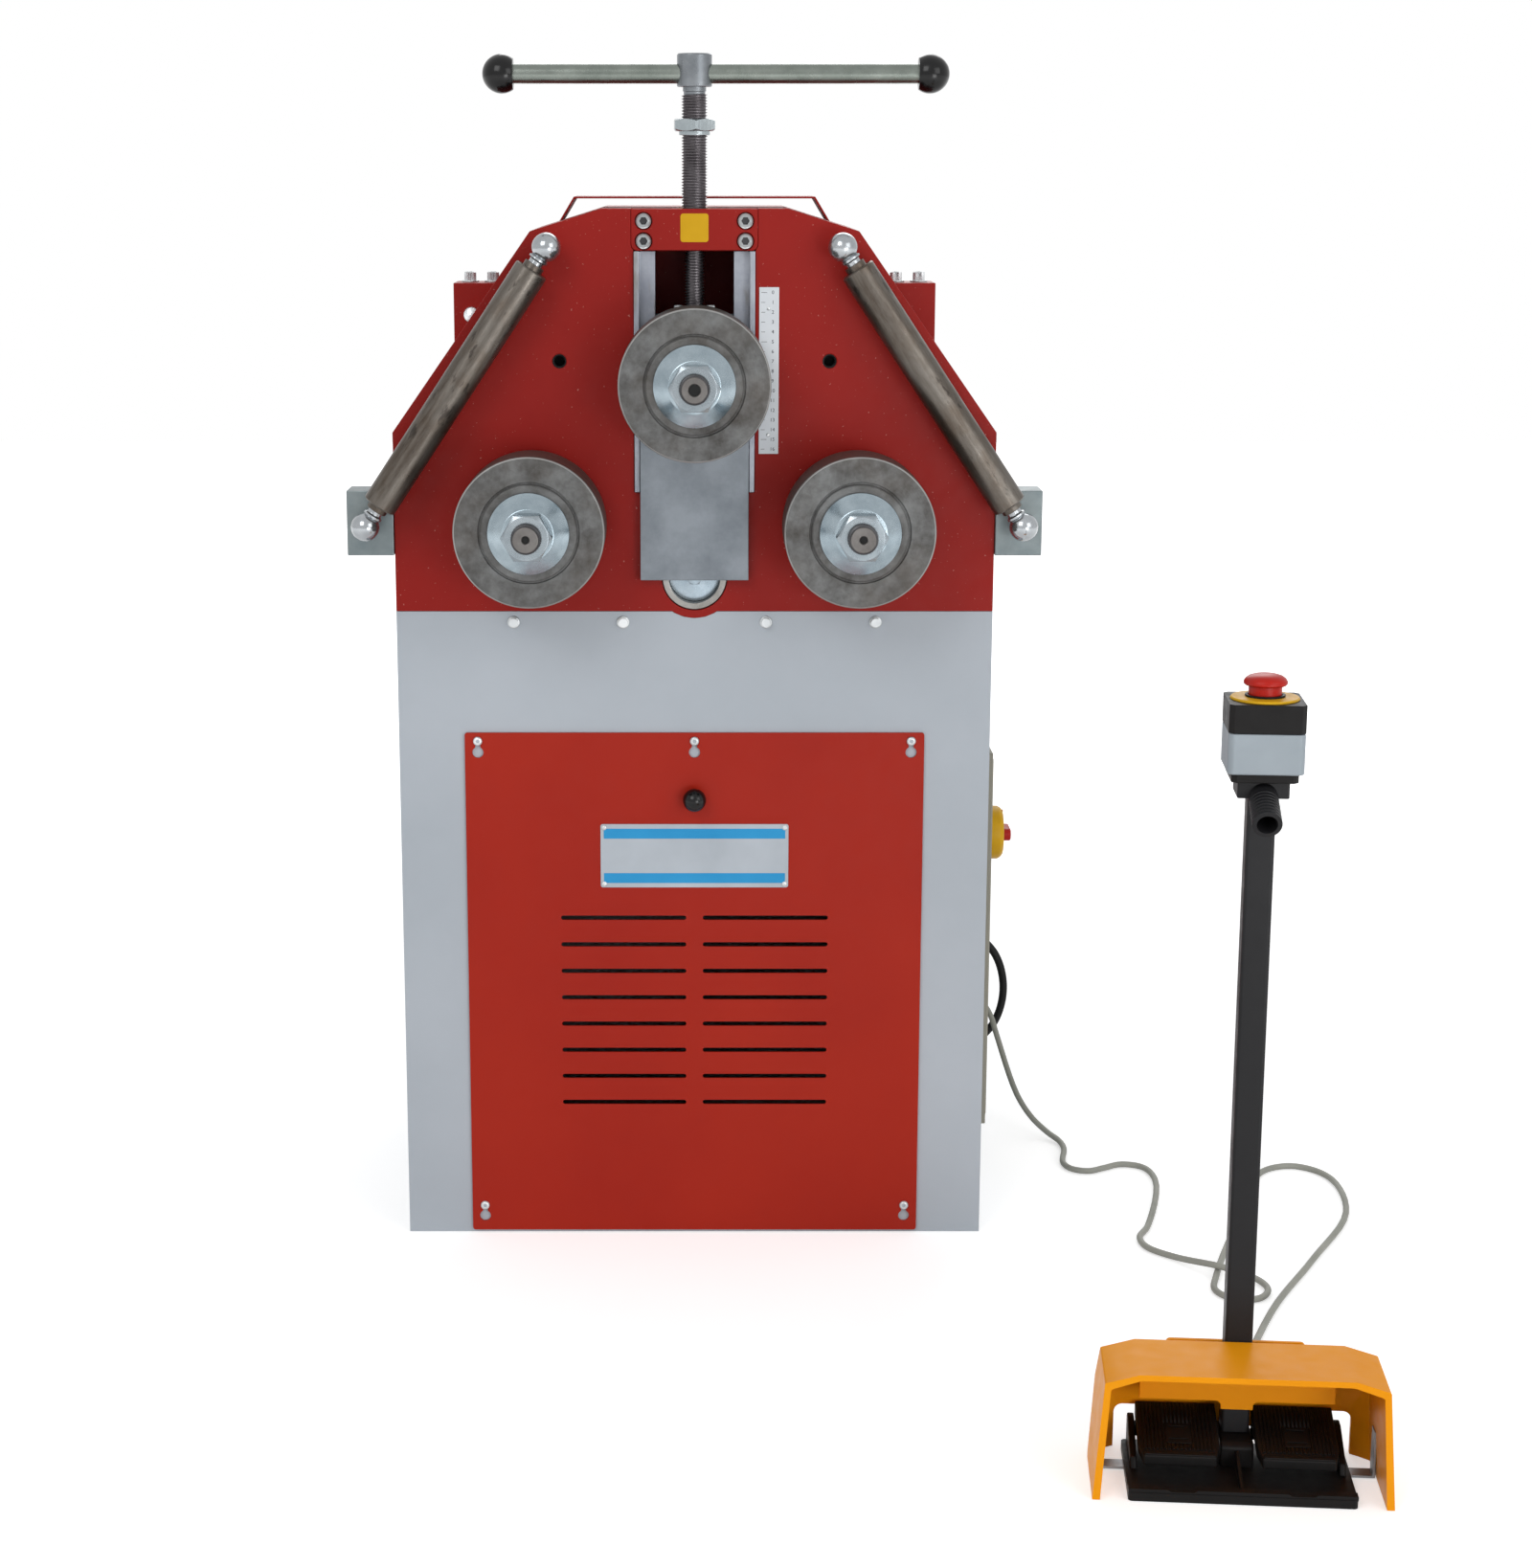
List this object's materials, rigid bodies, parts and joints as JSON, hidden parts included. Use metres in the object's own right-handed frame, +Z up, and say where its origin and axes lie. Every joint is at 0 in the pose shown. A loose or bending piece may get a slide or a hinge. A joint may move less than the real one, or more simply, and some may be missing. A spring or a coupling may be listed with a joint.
{
  "type": "ring roller",
  "caption": "Floor-standing ring roller with three rollers on a cabinet, a screw-fed upper slide, side rolls and a cabled foot-pedal unit with a stop button.",
  "frame": {"origin": "centre of the cabinet's base on the floor", "axes": "+X to the machine's right as seen from the front, +Y to its back, +Z up"},
  "size_m": [1.1168, 1.1763, 1.2741],
  "materials": {
    "cabinet_paint": "semi-gloss powder coat",
    "red_paint": "semi-gloss, lightly textured paint",
    "black_plastic": "satin moulded plastic",
    "scale_print": "printed strip",
    "bronze": "machined bronze",
    "ground_steel": "ground and lightly worn",
    "cast_iron": "painted casting",
    "zinc": "bright zinc plating",
    "black_ball": "polished phenolic",
    "chrome": "polished",
    "dark_steel": "mottled mill scale",
    "enclosure_paint": "semi-gloss paint",
    "yellow_plastic": "satin",
    "red_plastic": "satin gloss",
    "grey_cable": "smooth jacket",
    "orange_paint": "semi-gloss enamel",
    "black_paint": "satin paint",
    "light_plastic": "satin moulded plastic"
  },
  "bodies": {
    "machine": {"cabinet_left_side": "cabinet_paint", "cabinet_right_side": "cabinet_paint", "cabinet_front": "cabinet_paint", "cabinet_back": "cabinet_paint", "cabinet_top": "cabinet_paint", "cabinet_base": "cabinet_paint", "head_front_plate": "red_paint", "head_rear_plate": "red_paint", "head_casing": "red_paint", "top_guard": "red_paint", "scale_strip": "scale_print", "crossbar": "red_paint", "screw_nut": "bronze", "rail_left": "ground_steel", "rail_right": "ground_steel", "left_bush": "bronze", "right_bush": "bronze", "pinion_bearing": "ground_steel", "gearmotor": "cast_iron", "drive_cover": "red_paint", "left_side_axle": "chrome", "left_side_block": "ground_steel", "right_side_axle": "chrome", "right_side_block": "ground_steel", "switch_enclosure": "enclosure_paint", "switch_base": "yellow_plastic", "cable_gland": "black_plastic", "loop_cable": "black_plastic", "control_cable": "grey_cable", "pedal_base": "black_plastic", "pedal_hood": "orange_paint", "hood_strap": "zinc", "stand_pole": "black_paint", "stop_box": "light_plastic", "stop_lid": "black_plastic"},
    "panel": {"service_panel": "red_paint", "panel_knob": "black_plastic"},
    "slide": {"slide_block": "ground_steel", "slide_keeper": "cast_iron"},
    "upper_roll": {"upper_shaft": "ground_steel", "upper_roller": "ground_steel", "upper_clamp_nut": "zinc"},
    "screw": {"spindle": "ground_steel"},
    "lock_nut_body": {"lock_nut": "zinc"},
    "bar": {"tommy_bar": "ground_steel", "ball_left": "black_ball", "ball_right": "black_ball"},
    "left_roll": {"left_shaft": "ground_steel", "left_roller": "ground_steel", "left_clamp_nut": "zinc"},
    "right_roll": {"right_shaft": "ground_steel", "right_roller": "ground_steel", "right_clamp_nut": "zinc"},
    "pinion": {"pinion_shaft": "ground_steel"},
    "left_side": {"left_side_roll": "dark_steel"},
    "right_side": {"right_side_roll": "dark_steel"},
    "switch": {"switch_handle": "red_plastic"},
    "left_pedal": {"treadle_left": "black_plastic"},
    "right_pedal": {"treadle_right": "black_plastic"},
    "stop": {"stop_button": "red_plastic"}
  },
  "joints": [
    {"name": "panel_lift", "type": "slide", "parent": "machine", "child": "panel", "axis": [0, 0, 1], "range_m": [0, 0.0125]},
    {"name": "slide_travel", "type": "slide", "parent": "machine", "child": "slide", "axis": [0, 0, 1], "range_m": [-0.0736, 0.0131]},
    {"name": "screw_turn", "type": "hinge", "parent": "slide", "child": "screw", "pos_m": [0, -0.228, 1.1], "axis": [0, 0, 1], "range_deg": [-8820, 1560]},
    {"name": "lock_nut_travel", "type": "slide", "parent": "screw", "child": "lock_nut_body", "axis": [0, 0, 1], "range_m": [0, 0.03]},
    {"name": "bar_slide", "type": "slide", "parent": "screw", "child": "bar", "axis": [1, 0, 0], "range_m": [-0.202, 0.158]},
    {"name": "upper_spin", "type": "hinge", "parent": "slide", "child": "upper_roll", "pos_m": [0, -0.31, 0.943], "axis": [0, 1, 0], "continuous": true},
    {"name": "left_spin", "type": "hinge", "parent": "machine", "child": "left_roll", "pos_m": [-0.1699, -0.31, 0.7934], "axis": [0, 1, 0], "continuous": true},
    {"name": "right_spin", "type": "hinge", "parent": "machine", "child": "right_roll", "pos_m": [0.1699, -0.31, 0.7934], "axis": [0, 1, 0], "continuous": true},
    {"name": "pinion_spin", "type": "hinge", "parent": "machine", "child": "pinion", "pos_m": [0, -0.16, 0.734], "axis": [0, 1, 0], "continuous": true},
    {"name": "left_side_spin", "type": "hinge", "parent": "machine", "child": "left_side", "pos_m": [-0.3442, -0.28, 0.7917], "axis": [0.5554, 0, 0.8316], "continuous": true},
    {"name": "right_side_spin", "type": "hinge", "parent": "machine", "child": "right_side", "pos_m": [0.3442, -0.28, 0.7917], "axis": [-0.5554, 0, 0.8316], "continuous": true},
    {"name": "switch_turn", "type": "hinge", "parent": "machine", "child": "switch", "pos_m": [0.35, -0.02, 0.403], "axis": [1, 0, 0], "range_deg": [0, 90]},
    {"name": "treadle_left_press", "type": "hinge", "parent": "machine", "child": "left_pedal", "pos_m": [0.44205, -0.81092, 0.024], "axis": [0.9965, -0.0837, 0], "range_deg": [0, 8], "stiffness_Nm_per_rad": 4, "springref_deg": -6.88},
    {"name": "treadle_right_press", "type": "hinge", "parent": "machine", "child": "right_pedal", "pos_m": [0.54768, -0.81979, 0.024], "axis": [0.9965, -0.0837, 0], "range_deg": [0, 8], "stiffness_Nm_per_rad": 4, "springref_deg": -6.88},
    {"name": "stop_press", "type": "slide", "parent": "machine", "child": "stop", "axis": [0, 0, -1], "range_m": [0, 0.005], "stiffness_N_per_m": 600, "springref_m": -0.002}
  ],
  "couplings": [
    {"joint": "slide_travel", "follows": "screw_turn", "m_per_rad": 0.00047746},
    {"joint": "right_spin", "follows": "left_spin", "ratio": 1},
    {"joint": "pinion_spin", "follows": "left_spin", "ratio": -2}
  ]
}
